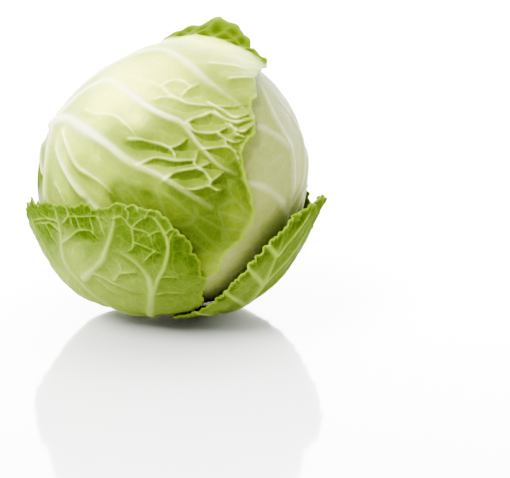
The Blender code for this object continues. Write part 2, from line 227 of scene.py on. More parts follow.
class Head:
    """The shape that all leaves are wrapped on."""

    def __init__(self, shape):
        self.middle = np.array([0.0, 0.0, shape.middle_height])
        self.half_width = shape.heart_half_width
        self.half_height = shape.heart_half_height
        self.flat_drop = shape.flat_drop
        self.lump_height = shape.lump_height
        rng = np.random.default_rng(LUMP_SEED)
        self.lump_turns = rng.normal(0, LUMP_CLOSENESS, (LUMPS, 3))
        self.lump_phases = rng.uniform(0, 2 * math.pi, LUMPS)

    def radius(self, n):
        """Distance from the middle to the heart's skin."""
        level = np.hypot(n[..., 0], n[..., 1])
        egg = 1 / np.sqrt((level / self.half_width) ** 2 + (n[..., 2] / self.half_height) ** 2)
        for azimuth, latitude, spread, change in SWELLINGS:
            turn = np.degrees(np.arccos(np.clip(n @ direction(azimuth, latitude), -1, 1)))
            egg = egg + change * MM * np.exp(-0.5 * (turn / spread) ** 2)
        lumps = np.sin(n @ self.lump_turns.T + self.lump_phases).sum(axis=-1) / LUMPS
        egg = egg + self.lump_height * lumps
        flat = self.flat_drop / np.maximum(-n[..., 2], 1e-6)
        return (egg**-FLAT_SHARPNESS + flat**-FLAT_SHARPNESS) ** (-1 / FLAT_SHARPNESS)


def pinnate(trunk, pairs, half_width, spread, length):
    """A midrib up azimuth trunk from one latitude to another, and pairs of side ribs that curve
    away from it towards the tip. spread and length are in degrees."""
    azimuth, low, high = trunk
    ribs = [(half_width, [(azimuth, lat) for lat in np.linspace(low, high, 5)])]
    for i in range(pairs):
        start = low + (high - low) * (i + 0.6) / (pairs + 0.4)
        narrow = math.cos(math.radians(start))
        for side in (-1, 1):
            route = [
                (azimuth + side * spread * f / narrow, start + length * f * (0.6 + 0.4 * f))
                for f in (0.0, 0.35, 0.7, 1.0)
            ]
            ribs.append((half_width * 0.6, route))
    return ribs


# Each leaf's plan has, in degrees and mm:
# - middle (azimuth, latitude), the stalk's azimuth, layer (height over the heart's skin), blade
#   (thickness), lift_from (the share of its reach where it starts to lift), its margin as
#   (azimuth, latitude, lift), and its ribs and creases as (half width, route)
# - net (cell width, stretch, turn in radians) and net_rise, its height
# - dish, the depth of the hollows between veins, at dish_spots (azimuth, latitude, spread, amount)
# - green from 0 to 1, with green_and_shade_spots, partly the leaf's own green and partly painted shade, and
#   band, the green of a free margin
# - edge_width of its thin rim, and the height of its frill
# What a plan leaves out is as usual: the tone of creases and how much less green their crests are,
# how far the hollows stay off the net, the painted shade under a vein, and where the grid is crowded.
USUAL = dict(creases=[], crease_tone=0.5, crest=0, wall_gap=1, shade=0.3, crowd=None)

WRAPPER_LEFT = dict(
    name="wrapper_leaf_left", middle=(-137, 28), stalk=-165, layer=4.4, blade=1.0, lift_from=0.78,
    margin=[
        (12, 53, 6.8), (-2, 51, 2), (-29, 47, 1.5), (-43, 41, 1.5), (-45, 34, 1.5), (-49, 29, 1.5),
        (-56, 22, 2.5), (-58, 14, 2), (-54, 3, 1.5), (-58, -12, 1), (-68, -27, 0.5), (-84, -42, 0),
        (-105, -56, 0), (-135, -69, 0), (-165, -76, 0), (170, -76, 0), (150, -68, 0), (141, -50, 0),
        (136, -25, 0), (131, 0, 1), (126, 22, 2), (118, 45, 3), (105, 60, 3.5), (92, 64, 8.5),
        (84, 65, 10.5), (76, 66, 13), (67, 65, 12), (57, 63, 17), (50, 62, 19), (43, 59, 19.5),
        (35, 57, 13), (25, 55, 6.5),
    ],
    ribs=[
        (3.6, [(-165, -72), (-157, -50), (-152, -22), (-150, -3), (-152, 13), (-158, 26), (-163, 42),
               (-158, 58), (-140, 71), (-101, 75), (-76, 66), (-65, 53), (-57, 46), (-46, 33)]),
        (2.4, [(-158, 33), (-151, 46), (-134, 53), (-113, 48), (-104, 44), (-96, 40), (-89, 37), (-82, 34),
               (-76, 26), (-68, 17), (-61, 13)]),
        (3.8, [(-163, 27), (-150, 32), (-136, 31), (-117, 26), (-104, 19), (-90, 13), (-72, 1)]),
        (2.5, [(-108, -12), (-119, 0), (-129, 8), (-144, 18), (-150, 24)]),
        (2.2, [(-158, 26), (-178, 36), (165, 36), (148, 30), (136, 20)]),
        (2.2, [(-162, 36), (-175, 52), (160, 58), (135, 54), (112, 44)]),
        (2.0, [(-154, 8), (-170, 16), (170, 14), (152, 4), (142, -8)]),
    ],
    creases=[
        (0.8, [(-117, 56), (-100, 53), (-93, 51), (-88, 47), (-82, 44), (-76, 42), (-60, 40), (-45, 39)]),
        (0.6, [(-93, 51), (-86, 54), (-79, 53), (-75, 50), (-68, 52)]),
        (0.5, [(-75, 50), (-79, 48), (-82, 45)]), (0.6, [(-96, 45), (-90, 46), (-85, 45), (-81, 44)]),
        (0.7, [(-47, 52), (-37, 51), (-28, 49)]), (0.7, [(-53, 62), (-42, 60), (-31, 57), (-25, 54)]),
        (0.7, [(-68, 42), (-61, 38), (-57, 35), (-52, 35), (-45, 36)]),
        (0.8, [(-81, 34), (-77, 36), (-72, 37), (-68, 38), (-64, 36), (-60, 32)]),
        (0.7, [(-66, 38), (-62, 35), (-57, 33), (-52, 33), (-45, 33)]),
        (0.8, [(-80, 34), (-77, 31), (-72, 30), (-67, 30), (-63, 31), (-60, 32)]),
        (0.7, [(-60, 32), (-58, 30), (-55, 29), (-51, 30), (-46, 32)]),
        (0.7, [(-67, 30), (-65, 28), (-62, 26), (-59, 25), (-54, 26)]),
        (0.6, [(-58, 30), (-58, 28), (-54, 26)]),
        (0.7, [(-74, 24), (-69, 24), (-64, 24), (-61, 22), (-58, 21)]), (0.5, [(-64, 26), (-64, 24)]),
        (0.6, [(-61, 22), (-60, 19), (-60, 16)]),
        (0.7, [(-136, 38), (-129, 37), (-116, 37), (-109, 34), (-106, 32), (-102, 28)]),
        (1.3, [(-145, 27), (-138, 22), (-133, 18), (-128, 15), (-123, 13), (-116, 10), (-110, 5)]),
        (0.6, [(-141, 6), (-137, 2), (-135, -2)]),
        (0.8, [(-106, 28), (-101, 28), (-96, 27), (-91, 26), (-88, 25), (-84, 26), (-81, 28), (-79, 29)]),
        (0.6, [(-88, 25), (-86, 22), (-86, 20)]),
        (0.8, [(-101, 18), (-97, 20), (-93, 21), (-86, 20), (-82, 20), (-78, 20), (-77, 22), (-76, 25)]),
        (0.6, [(-78, 20), (-78, 18), (-77, 17)]),
        (0.8, [(-90, 13), (-87, 15), (-84, 16), (-77, 17), (-73, 18), (-70, 19)]),
        (0.8, [(-77, 17), (-74, 15), (-72, 12), (-69, 13), (-65, 15)]),
        (0.8, [(-72, 12), (-73, 10), (-78, 9), (-82, 9), (-86, 10)]), (0.7, [(-73, 10), (-70, 8), (-67, 8)]),
    ],
    net=(11.0, 2.0, -0.5), net_rise=0.07, wall_gap=5, dish=2.2, shade=0.55, crease_tone=0.30, crest=0.26,
    crowd=(-74, 28),
    dish_spots=[
        (-66, 26, 20, 1.0), (-82, 17, 14, 0.6), (-62, 44, 14, 0.5), (60, 66, 20, 0.8), (-132, 8, 20, 0.8),
    ],
    green=0.14,
    # Spots of more or less green: partly the leaf's own colour, partly painted shade
    green_and_shade_spots=[
        (-95, 3, 20, 0.51), (-70, 6, 17, 0.45), (-68, 34, 19, 0.40), (-130, 1, 14, 0.22),
        (-98, 31, 8, 0.46), (-108, 7, 5, 0.52), (-117, 7, 4, -0.14), (-111, 27, 6, 0.28),
        (-91, 25, 6, -0.08), (-100, 14, 5, -0.12), (-96, 6, 5, 0.25), (-91, 12, 4, -0.38),
        (-88, 46, 16, -0.14), (-100, 46, 8, -0.10), (-45, 54, 11, 0.22), (-132, 12, 8, 0.08),
        (-125, 8, 5, 0.10), (-76, 14, 7, -0.20), (-104, 35, 4, -0.34), (-92, 24, 4, -0.08),
        (-70, 30, 8, 0.10), (-166, 4, 15, 0.66), (-125, 45, 26, -0.14), (150, 10, 45, 0.35),
        (-74, -20, 14, 0.40),
    ],
    edge_width=1.9, frill=0.5, band=0.4,
)

WRAPPER_RIGHT = dict(
    name="wrapper_leaf_right", middle=(-22, 5), stalk=-28, layer=2.8, blade=0.9, lift_from=0.8,
    margin=[
        (0, 78, 0), (45, 66, 1.5), (62, 45, 2.5), (68, 22, 2.5), (68, -5, 2), (64, -32, 1), (50, -56, 0),
        (20, -71, 0), (-15, -76, 0), (-45, -76, 0), (-75, -68, 0), (-96, -50, 0), (-104, -25, 0),
        (-102, 0, 0), (-96, 25, 0), (-80, 50, 0), (-50, 70, 0),
    ],
    ribs=[
        (3.0, [(-28, -70), (-29, -40), (-30, -10), (-28, 5), (-26, 17), (-28, 24), (-30, 32), (-28, 39),
               (-24, 45), (-17, 51)]),
        (2.3, [(-28, 19), (-34, 24), (-41, 29), (-48, 32), (-60, 35)]),
        (2.2, [(-31, -8), (-44, 4), (-58, 10), (-72, 14)]),
        (1.5, [(-29, -6), (-20, 0), (-12, 9), (-9, 20), (-12, 30), (-18, 40)]),
        (2.0, [(-30, -18), (-6, 4), (20, 14), (42, 18)]),
        (1.6, [(-29, -34), (-4, -14), (24, -6), (48, -6)]),
    ],
    net=(12.0, 1.8, 0.5), net_rise=0.22, dish=0.3, dish_spots=[(30, 10, 40, 1.0)],
    green=0.13,
    # Spots of more or less green: partly the leaf's own colour, partly painted shade
    green_and_shade_spots=[
        (60, 0, 30, 0.35), (-20, -30, 30, 0.25), (-20, 46, 16, 0.30), (-38, 40, 9, 0.22),
        (-4, 50, 9, 0.30), (-56, 21, 8, 0.35),
    ],
    edge_width=2.5, frill=0.4, band=0.3,
)

WRAPPER_BACK = dict(
    name="wrapper_leaf_back", middle=(98, 5), stalk=98, layer=1.1, blade=0.9, lift_from=0.8,
    margin=[
        (98, 80, 0), (40, 72, 0), (26, 45, 0), (22, 10, 0), (26, -25, 0), (40, -55, 0), (75, -74, 0),
        (98, -77, 0), (121, -74, 0), (156, -55, 0), (172, -25, 0), (175, 10, 0), (170, 45, 0), (150, 72, 0),
    ],
    ribs=pinnate((98, -70, 66), 5, 3.0, 34, 26),
    net=(12.0, 1.6, 0.0), net_rise=0.25, dish=0.3, dish_spots=[(98, 10, 40, 1.0)],
    green=0.12, green_and_shade_spots=[(98, -20, 35, 0.25)],
    edge_width=2.0, frill=0.2, band=0.3,
)

OUTER_FRONT = dict(
    name="outer_leaf_front", middle=(-128, -33), stalk=-122, layer=8.3, blade=1.1, lift_from=0.25,
    margin=[
        (-176, -15, 6.5), (-174, -10, 4.5), (-171, -8, 3), (-163, -6, 2.5), (-157, -3.5, 2.5),
        (-152, -4, 2.5), (-146, -2.5, 3), (-139, 0.5, 3.5), (-132, -0.5, 3), (-121, 2, 2.5),
        (-112, 1, 2.5), (-107, 4, 3), (-98, 2, 3), (-90, 0.3, 3), (-85, -6, 3.5), (-79, -16, 2.5),
        (-74, -28, 1), (-73, -42, 0.2), (-76, -57, 0), (-90, -70, 0), (-122, -76, 0), (-145, -73, 0),
        (-152, -62, 0), (-157, -50, 0.2), (-168, -37, 1), (-175, -22, 4),
    ],
    ribs=[
        (2.6, [(-108, -68), (-104, -56), (-99, -42), (-97, -32), (-98, -26), (-103, -19), (-112, -15)]),
        (1.3, [(-98, -38), (-94, -28), (-91, -22), (-89, -13), (-90, -7), (-94, -1), (-99, 0)]),
        (1.9, [(-131, -32), (-124, -27), (-117, -21), (-114, -16), (-111, -10), (-109, -4), (-108, 3)]),
        (2.0, [(-112, -62), (-120, -57), (-128, -46), (-135, -35), (-139, -27), (-138, -20), (-135, -11),
               (-135, -3), (-138, 0)]),
        (0.9, [(-124, -27), (-118, -30), (-112, -33), (-101, -38)]),
    ],
    creases=[
        (0.6, [(-136, -16), (-131, -13), (-125, -9), (-121, -8), (-118, -9), (-115, -14)]),
        (0.5, [(-118, -9), (-118, -6), (-119, -1)]),
        (0.5, [(-131, -6), (-129, -4), (-123, -3), (-115, -2), (-110, -5)]), (0.5, [(-129, -4), (-129, 0)]),
        (0.5, [(-115, -2), (-114, -6), (-113, -11)]), (0.5, [(-125, -3), (-124, -7), (-123, -9)]),
        (0.6, [(-109, -2), (-106, -1), (-104, -3), (-102, -5), (-96, -7), (-95, -10), (-94, -14)]),
        (0.5, [(-102, -5), (-99, -2), (-97, -1)]), (0.5, [(-104, 2), (-103, 0), (-104, -3)]),
        (0.5, [(-100, 3), (-99, 0)]), (0.6, [(-102, -5), (-102, -11), (-103, -14), (-106, -16)]),
        (0.5, [(-102, -11), (-96, -13), (-90, -16)]), (0.5, [(-96, -8), (-93, -6), (-90, -6)]),
        (0.5, [(-94, -14), (-97, -17), (-100, -21)]), (0.5, [(-89, -11), (-88, -8), (-86, -5)]),
        (0.5, [(-90, -7), (-88, -5), (-86, -5), (-83, -9)]),
        (0.6, [(-114, -30), (-110, -26), (-105, -25), (-101, -25)]),
        (0.5, [(-110, -26), (-109, -23), (-111, -19)]), (0.5, [(-122, -31), (-119, -35), (-112, -40)]),
        (0.5, [(-94, -27), (-89, -26), (-85, -27)]), (0.5, [(-95, -36), (-88, -35), (-80, -36)]),
        (0.5, [(-97, -1), (-95, 2), (-92, 1), (-89, -2)]), (0.6, [(-136, -7), (-142, -7), (-151, -6)]),
        (0.6, [(-139, -7), (-145, -8), (-155, -11), (-166, -14)]),
        (0.7, [(-135, -11), (-141, -9), (-145, -10), (-153, -12), (-162, -15)]),
        (0.7, [(-145, -10), (-144, -13), (-142, -16), (-139, -21)]),
        (0.6, [(-128, -3), (-129, -1), (-132, 0)]), (0.5, [(-128, -3), (-131, -6), (-134, -8)]),
        (0.5, [(-128, -3), (-127, -9)]), (0.8, [(-162, -13), (-158, -19), (-153, -25), (-148, -34)]),
    ],
    net=(9.0, 1.3, 1.2), net_rise=0.10, dish=1.0, shade=0.42, crease_tone=0.70, crest=0.15,
    dish_spots=[(-120, -15, 60, 1.0)],
    green=0.34,
    green_and_shade_spots=[
        (-98, -4, 9, 0.88), (-124, -2, 8, 0.50), (-114, -1, 4, -0.45), (-156, -8, 10, 0.75),
        (-145, -15, 6, 0.32), (-121, -11, 6, 0.22), (-134, -19, 6, -0.40), (-132, -38, 9, -0.26),
        (-90, -20, 12, 0.28), (-97, -30, 6, -0.10), (-88, -40, 9, 0.26), (-115, -50, 20, -0.05),
        (-152, -42, 9, -0.35),
    ],
    edge_width=0.9, frill=0.35, band=0.6,
)

# What the three other outer leaves share
OUTER_USUAL = dict(
    blade=1.1, lift_from=0.3, net=(9.5, 1.4, 0.0), net_rise=0.3, dish=0.9, edge_width=1.2, band=0.5
)

OUTER_BACK = dict(
    OUTER_USUAL, name="outer_leaf_back", middle=(66, -36), stalk=62, layer=8.3,
    margin=[
        (64, 2, 5), (38, -2, 5), (18, -11, 2.5), (7, -26, 0.6), (3, -42, 0.2), (9, -58, 0), (30, -70, 0),
        (62, -76, 0), (88, -72, 0), (108, -60, 0.5), (120, -42, 1.5), (120, -26, 3), (108, -12, 4),
        (88, -2, 5),
    ],
    ribs=pinnate((62, -72, -4), 4, 3.2, 22, 26),
    dish_spots=[(64, -30, 60, 1.0)],
    green=0.42,
    green_and_shade_spots=[(64, 0, 25, 0.45), (20, -15, 15, 0.3), (110, -15, 15, 0.3), (62, -55, 20, -0.15)],
    frill=0.9,
)

OUTER_LEFT = dict(
    OUTER_USUAL, name="outer_leaf_left", middle=(160, -38), stalk=165, layer=6.7,
    margin=[
        (152, -6, 4), (134, -8, 4), (119, -18, 1.2), (110, -33, 0.4), (112, -50, 0.2), (125, -65, 0),
        (145, -74, 0), (165, -76, 0), (-174, -73, 0), (-155, -66, 0), (-145, -52, 0), (-156, -36, 0.2),
        (-173, -24, 1), (170, -13, 3),
    ],
    ribs=pinnate((160, -72, -8), 4, 3.0, 18, 24),
    dish_spots=[(160, -30, 60, 1.0)],
    green=0.36, green_and_shade_spots=[(152, -5, 22, 0.45), (-170, -45, 18, -0.3), (160, -55, 20, -0.15)],
    frill=0.8,
)

OUTER_RIGHT = dict(
    OUTER_USUAL, name="outer_leaf_right", middle=(-38, -40), stalk=-45, layer=10.0,
    margin=[
        (-28, -4, 4.5), (-44, -10, 4), (-56, -22, 3.5), (-66, -37, 2.5), (-76, -49, 1.5), (-86, -55, 0.8),
        (-89, -62, 0.3), (-80, -71, 0), (-60, -76, 0), (-35, -76, 0), (-10, -71, 0), (8, -59, 0.5),
        (16, -44, 1.2), (16, -28, 2.5), (8, -14, 3.5), (-10, -5, 4.5),
    ],
    ribs=pinnate((-42, -72, -10), 4, 3.2, 20, 24),
    dish_spots=[(-38, -30, 60, 1.0)],
    green=0.45, green_and_shade_spots=[(-25, -6, 25, 0.4), (10, -25, 15, 0.3), (-42, -55, 20, -0.15)],
    frill=0.8,
)


class Leaf:
    """A leaf laid over the head.

    The blade is drawn flat round its middle, as on a map whose distances from the middle are
    true, and then wrapped on the heart.
    """

    def __init__(self, head, shape, plan):
        self.head, self.shape, self.plan = head, shape, {**USUAL, **plan}
        self.middle = direction(*plan["middle"])
        towards_stalk = direction(plan["stalk"], BASE_LATITUDE)
        away = self.middle * (self.middle @ towards_stalk) - towards_stalk
        self.up = away / np.linalg.norm(away)
        self.side = np.cross(self.up, self.middle)
        self.rng = np.random.default_rng(len(plan["name"]))
        self.phases = self.rng.uniform(0, 2 * math.pi, len(BROAD_WAVES))
        self.frill_phases = self.rng.uniform(0, 2 * math.pi, len(FRILLS))
        self.nick_phases = self.rng.uniform(0, 2 * math.pi, len(NICKS))
        az, lat, lift = np.array(plan["margin"], float).T
        x, y = self.to_map(direction(az, lat))
        edge = smooth_path(np.stack([x, y, lift * MM], axis=1), closed=True)
        self.edge_angle = np.arctan2(edge[:, 1], edge[:, 0])
        self.edge_reach = np.hypot(edge[:, 0], edge[:, 1])
        self.edge_lift = edge[:, 2]

    def to_map(self, n):
        turn = np.arccos(np.clip(n @ self.middle, -1, 1))
        x, y = n @ self.side, n @ self.up
        length = np.maximum(np.hypot(x, y), 1e-9)
        return turn * x / length, turn * y / length

    def from_map(self, x, y):
        turn = np.maximum(np.hypot(x, y), 1e-9)
        out = np.outer(np.cos(turn), self.middle)
        out += np.outer(x / turn * np.sin(turn), self.side)
        return out + np.outer(y / turn * np.sin(turn), self.up)

    def reach(self, angle):
        """How far the margin is from the leaf's middle, in radians."""
        even = np.interp(angle, self.edge_angle, self.edge_reach, period=2 * math.pi)
        broad = BROAD_DEPTH * wave_sum(BROAD_WAVES, self.phases, angle + 1)
        fine = self.shape.nick_depth / self.head.half_width * wave_sum(NICKS, self.nick_phases, angle)
        return even * (1 + broad) + fine

    def share_at(self, n):
        """How far out on this leaf a direction is: 1 at the margin, more beyond it."""
        x, y = self.to_map(n)
        return np.hypot(x, y) / self.reach(np.arctan2(y, x))

    def lines(self, n):
        """Ribs and creases together: the relief's height, the tone of the vein, how much a place is
        on a crease, the distance in metres to the nearest flank, and how much a place is under it."""
        shape, plan = self.shape, self.plan
        height, vein, crest, under = np.zeros((4, len(n)))
        flank = np.full(len(n), FAR_OFF)
        kinds = [
            ("ribs", shape.rib_taper, shape.rib_rise, 1.0),
            ("creases", shape.crease_taper, shape.crease_rise, plan["crease_tone"]),
        ]
        for key, taper, rise, tone in kinds:
            for half_width, route in plan[key]:
                az, lat = np.array(route, float).T
                path = smooth_path(direction(az, lat), steps=6)
                path /= np.linalg.norm(path, axis=1, keepdims=True)
                away, along, below = distance_to_path(n, path)
                away *= self.head.half_width
                uneven = 1 + UNEVEN_WIDTH * np.sin(19 * along + 40 * half_width)
                half = half_width * MM * (1 - taper * along) * uneven
                fade = 1 - LOWER_AT_TIP * smooth_step(0.8, 1.0, along)
                fade = fade * (1 - UNEVEN_HEIGHT + UNEVEN_HEIGHT * np.sin(13 * along + 1))
                lopsided = 1 - STEEPER_BELOW * np.clip(below, -1, 1)
                ridge = rise * half * fade / (1 + (away / (RIDGE_HALF * half * lopsided)) ** 4)
                skirt = SKIRT_HEIGHT * rise * half * fade * np.exp(-((away / (SKIRT_HALF * half)) ** 2))
                height = np.maximum(height, ridge + skirt)
                pale = fade / (1 + (away / (PALE_HALF * half)) ** 4)
                fainter = 1 - FAINTER_AT_TIP * smooth_step(0.5, 1.0, along)
                vein = np.maximum(vein, tone * pale * fainter)
                if key == "creases":
                    crest = np.maximum(crest, pale)
                side = np.maximum(away - FLANK_HALF * half, 0) + (1 - fade) * TIP_FLANK
                under = np.where(side < flank, below, under)
                flank = np.minimum(flank, side)
        return height, vein, crest, flank, under

    def spots(self, n, key):
        """Sum of soft round spots of this leaf's plan."""
        total = np.zeros(len(n))
        for azimuth, latitude, spread, amount in self.plan[key]:
            turn = np.degrees(np.arccos(np.clip(n @ direction(azimuth, latitude), -1, 1)))
            total += amount * np.exp(-0.5 * (turn / spread) ** 2)
        return total

    def points_and_tones(self, share, angle, leaves_above):
        """The blade's outer face: its points, and vein, green, edge and turned-up tones, 0 to 1."""
        plan, shape, size = self.plan, self.shape, self.head.half_width
        reach = self.reach(angle)
        x, y = share * reach * np.cos(angle), share * reach * np.sin(angle)
        n = self.from_map(x, y)
        from_edge = (1 - share) * reach * size

        line_height, line_vein, crest, flank, under = self.lines(n)
        cell, stretch, turn = plan["net"]
        wall = distance_to_cell_wall(x * size, y * size, cell * MM, stretch, turn, self.rng)
        far = smooth_step(NET_STARTS, NET_FULL, flank)
        net = far / (1 + (wall / NET_PALE_HALF) ** 2)
        net_height = plan["net_rise"] * MM * far / (1 + (wall / NET_RAISED_HALF) ** 2)

        # Hollows between the veins, greener right below a vein as painted shade, and paler along their rims
        deep = np.clip(self.spots(n, "dish_spots"), 0, 1)
        wall_side = wall + (plan["wall_gap"] + 7 * (1 - far)) * MM
        under = np.where(flank < wall_side, under, 0)
        side = np.minimum(flank, wall_side)
        rim = DISH_RIM - DISH_RIM_LESS_BELOW * under
        dish = deep * plan["dish"] * MM * (HOLLOW_RIM - np.exp(-side / rim))
        shade = np.clip(under, 0, 1) * np.exp(-side / SHADE_REACH)
        shade = shade * (1 - np.exp(-((side / SHADE_START) ** 2)))
        painted_shade_and_pale_rims = deep * (plan["shade"] * shade - PALE_RIM_TONE * np.exp(-side / PALE_RIM))

        # The margin stands off the head in broad waves and a fine frill
        lift = np.interp(angle, self.edge_angle, self.edge_lift, period=2 * math.pi)
        t = np.clip((share - plan["lift_from"]) / (1 - plan["lift_from"]), 0, 1)
        frill = plan["frill"] * MM * np.clip(lift / FRILL_LIFT, 0, MOST_FRILL)
        frill = frill * wave_sum(FRILLS, self.frill_phases, angle)
        broad = BROAD_LIFT * lift * wave_sum(BROAD_WAVES, self.phases, angle)
        stand_off = lift * t**2 + broad * t**3 + frill * t**5

        turned_up = smooth_step(TURNED_FROM, TURNED_FULL, stand_off) * (plan["layer"] < TIGHT_LAYER)
        crinkle = distance_to_cell_wall(x * size, y * size, CRINKLE_CELL, 1.4, 0.4, self.rng)
        crinkle = 1 / (1 + (crinkle / MM) ** 2)

        # The relief dies out below other leaves and gets lower at the margin
        open_air = np.ones(len(n))
        for other in leaves_above:
            open_air *= smooth_step(COVERED, OPEN, other.share_at(n))
        relief = line_height + net_height - dish + CRINKLE_HEIGHT * turned_up * crinkle
        fade_at_edge = smooth_step(0, FLAT_MARGIN, from_edge) * (1 - MARGIN_RELIEF) + MARGIN_RELIEF
        base = (plan["layer"] + plan["blade"]) * MM + BULGE * plan["dish"] * MM * deep * open_air
        height = base + stand_off + relief * open_air * fade_at_edge

        vein = np.maximum(line_vein, plan["net_rise"] * net) * (1 - turned_up)
        # The green tone also carries painted shade: under the veins, and in some of the spots
        green = plan["green"] + self.spots(n, "green_and_shade_spots") + painted_shade_and_pale_rims - plan["crest"] * crest
        green += plan["band"] * np.clip(lift / FULL_LIFT, 0, 1) * np.exp(-((from_edge / GREEN_BAND) ** 2))
        edge = np.exp(-((from_edge / (plan["edge_width"] * MM)) ** 2))
        # The crinkles' ridges are painted in the margin's lighter green, a painted highlight
        edge = np.maximum(edge, CRINKLE_HIGHLIGHT * turned_up * crinkle)
        points = self.head.middle + n * (self.head.radius(n) + height)[:, None]
        return points, np.clip(np.stack([vein, green, edge, turned_up], axis=1), 0, 1)


def map_square_to_disc(a, b):
    """A square's points spread over a disc with little change of area: share of radius, angle."""
    wide = np.abs(a) > np.abs(b)
    r = np.where(wide, a, b)
    safe = np.where(r == 0, 1.0, r)
    quarter = math.pi / 4
    angle = np.where(wide, quarter * b / safe, 2 * quarter - quarter * a / safe)
    return np.abs(r), np.where(r < 0, angle + math.pi, angle)


def vertices_of(mesh):
    co = np.empty(len(mesh.vertices) * 3, np.float32)
    mesh.vertices.foreach_get("co", co)
    return co.reshape(-1, 3).astype(float)


def set_vertices(mesh, points):
    mesh.vertices.foreach_set("co", np.asarray(points, np.float32).ravel())
    mesh.update()


def finish_piece(piece, name, node, material):
    """Names a piece, gives it its material and ties it to the frame."""
    piece.name = piece.data.name = name
    piece.data.materials.clear()
    piece.data.materials.append(material)
    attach(piece, BODY)
    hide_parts(node)


def make_leaf_piece(context, plan, cells, plans_above, material):
    """A leaf's blade as a fine grid, wrapped on the head and given its thickness."""
    shape = context.scene.cabbage_shape
    head = Head(shape)
    leaf, *above = [Leaf(head, shape, each) for each in [plan, *plans_above]]
    bpy.ops.object.select_all(action="DESELECT")
    bpy.ops.mesh.primitive_grid_add(x_subdivisions=cells, y_subdivisions=cells, size=2)
    piece = context.object
    flat = vertices_of(piece.data)
    if leaf.plan["crowd"]:
        centre = np.ravel(leaf.to_map(direction(*leaf.plan["crowd"]))) / leaf.edge_reach.mean()
        flat = np.stack([crowded(flat[:, 0], centre[0]), crowded(flat[:, 1], centre[1])], axis=1)
    share, angle = map_square_to_disc(flat[:, 0], flat[:, 1])
    points, tones = leaf.points_and_tones(share, angle, above)
    set_vertices(piece.data, points)
    layer = piece.data.color_attributes.new("leaf", "FLOAT_COLOR", "POINT")
    layer.data.foreach_set("color", tones.astype(np.float32).ravel())
    bpy.ops.object.modifier_add(type="SOLIDIFY")
    solid = piece.modifiers[-1]
    solid.thickness = plan["blade"] * MM
    solid.offset = -1
    bpy.ops.object.modifier_apply(modifier=solid.name)
    bpy.ops.object.shade_smooth()
    finish_piece(piece, f"{plan['name']}_skin", plan["name"], material)


# Closeness of the patterns in the materials, per metre
MOTTLE = 28
WIDE_NET = 105
FINE_NET = 240
SHEEN_PATCHES = 90
GRAIN = 300
SPECKS = 420
STEM_RINGS = 90.0
STEM_DRY = 180
STEM_GRAIN = 700

# Depth of the finest grain, in metres
BUMP_DEPTH = 0.4 * MM


class Nodes:
    """Short ways to add shader nodes to a material or a world."""

    def __init__(self, owner):
        owner.use_nodes = True
        self.owner, self.tree = owner, owner.node_tree
        self.shader = self.tree.nodes.get("Principled BSDF")
        self.coordinates = self.add("ShaderNodeTexCoord").outputs
        self.place = self.coordinates["Object"]

    def add(self, kind, inputs=(), **settings):
        """Adds a node with its settings, and then sets or links its inputs."""
        node = self.tree.nodes.new(kind)
        for key, value in settings.items():
            setattr(node, key, value)
        for key, value in dict(inputs).items():
            self.put(value, node.inputs[key])
        return node

    def put(self, value, socket):
        if isinstance(value, bpy.types.NodeSocket):
            self.tree.links.new(value, socket)
        else:
            socket.default_value = value

    def set(self, name, value):
        """Sets or links an input of the main shader."""
        self.put(value, self.shader.inputs[name])

    def noise(self, scale, detail=2.0, roughness=0.5):
        inputs = {"Vector": self.place, "Scale": scale, "Detail": detail, "Roughness": roughness}
        return self.add("ShaderNodeTexNoise", inputs).outputs["Fac"]

    def walls(self, scale):
        """Distance to the walls of small cells, whose sides are a little bent."""
        bend = self.add("ShaderNodeTexNoise", {"Vector": self.place, "Scale": scale * 0.9})
        inputs = {0: bend.outputs["Color"], "Scale": 0.5 / scale}
        shift = self.add("ShaderNodeVectorMath", inputs, operation="SCALE")
        bent = self.add("ShaderNodeVectorMath", {0: self.place, 1: shift.outputs[0]}, operation="ADD")
        inputs = {"Vector": bent.outputs[0], "Scale": scale}
        return self.add("ShaderNodeTexVoronoi", inputs, feature="DISTANCE_TO_EDGE").outputs["Distance"]

    def math(self, operation, a, b=0.0):
        return self.add("ShaderNodeMath", {0: a, 1: b}, operation=operation).outputs[0]

    def span(self, value, low, high, to_low=0.0, to_high=1.0, way="SMOOTHSTEP"):
        inputs = enumerate((value, low, high, to_low, to_high))
        return self.add("ShaderNodeMapRange", inputs, interpolation_type=way).outputs[0]

    def mix(self, factor, a, b):
        inputs = {"Factor": factor, 6: a, 7: b}
        return self.add("ShaderNodeMix", inputs, data_type="RGBA", blend_type="MIX").outputs[2]

    def scaled(self, colour, value):
        return self.add("ShaderNodeHueSaturation", {"Color": colour, "Value": value}).outputs[0]

    def bump(self, height, strength):
        inputs = {"Height": height, "Strength": strength, "Distance": BUMP_DEPTH}
        self.set("Normal", self.add("ShaderNodeBump", inputs).outputs[0])

    def tones(self):
        """The vein, green, edge and turned-up tones stored in the leaf's mesh."""
        node = self.add("ShaderNodeVertexColor", layer_name="leaf")
        split = self.add("ShaderNodeSeparateColor", {0: node.outputs["Color"]}).outputs
        return split[0], split[1], split[2], node.outputs["Alpha"]


